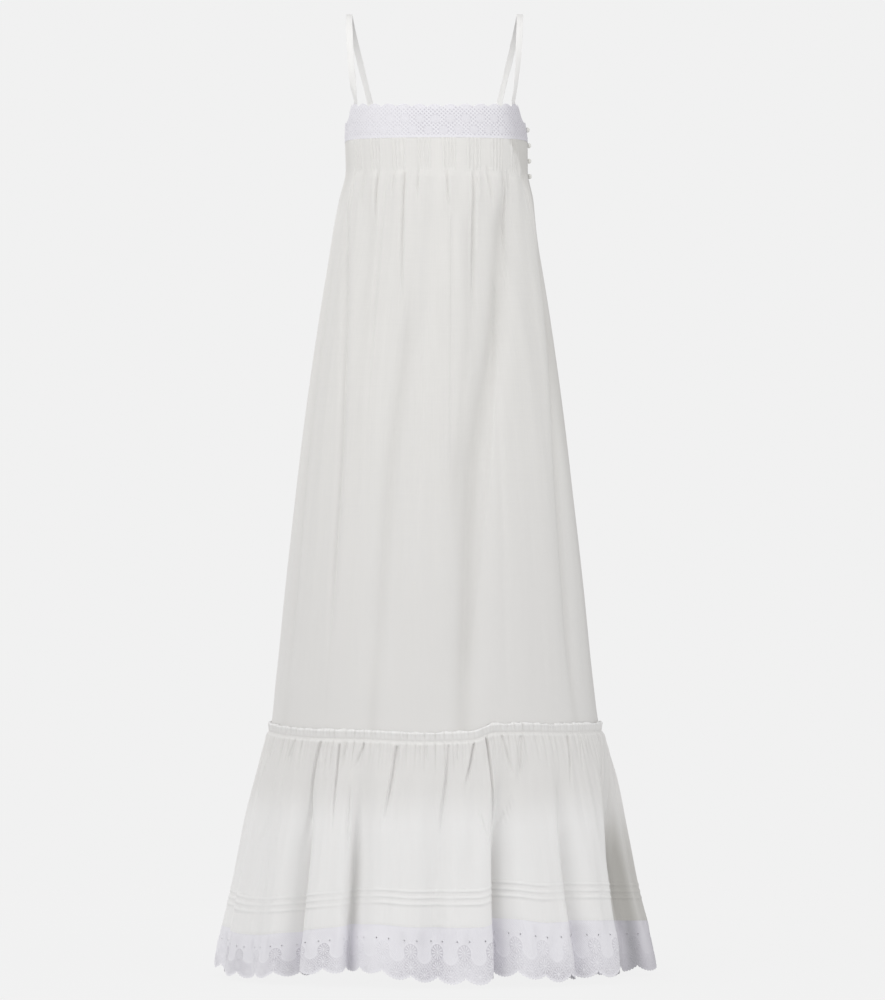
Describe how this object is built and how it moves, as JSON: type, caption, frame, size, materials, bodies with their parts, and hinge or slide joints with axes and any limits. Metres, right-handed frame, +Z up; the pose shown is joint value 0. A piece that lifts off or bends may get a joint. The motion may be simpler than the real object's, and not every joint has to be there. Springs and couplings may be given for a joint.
{
  "type": "maxi dress",
  "caption": "Long strappy white cotton dress with a scalloped lace neck band, pin-tucked yoke, side buttons and a gathered tier edged in lace, open and hollow in its worn shape.",
  "frame": {"origin": "midway between the two shoulders, just under the tops of the straps, where the wearer holds the dress up", "axes": "+Z up, towards the head; -Y is the front of the dress; +X is the wearer's left, the side with the buttons"},
  "size_m": [0.6634, 0.5321, 1.4388],
  "materials": {
    "cotton": "matte off-white cotton voile",
    "lace": "matte cool white cotton lace",
    "covered_button": "cloth-covered dome"
  },
  "bodies": {
    "root": {"skirt_front": "cotton", "skirt_back": "cotton", "tier_front": "cotton", "tier_back": "cotton", "hem_lace_front": "lace", "hem_lace_back": "lace", "neck_lace_front": "lace", "neck_lace_back": "lace", "strap_right": "cotton", "strap_left": "cotton", "button_1": "covered_button", "button_2": "covered_button", "button_3": "covered_button", "button_4": "covered_button"}
  },
  "joints": []
}
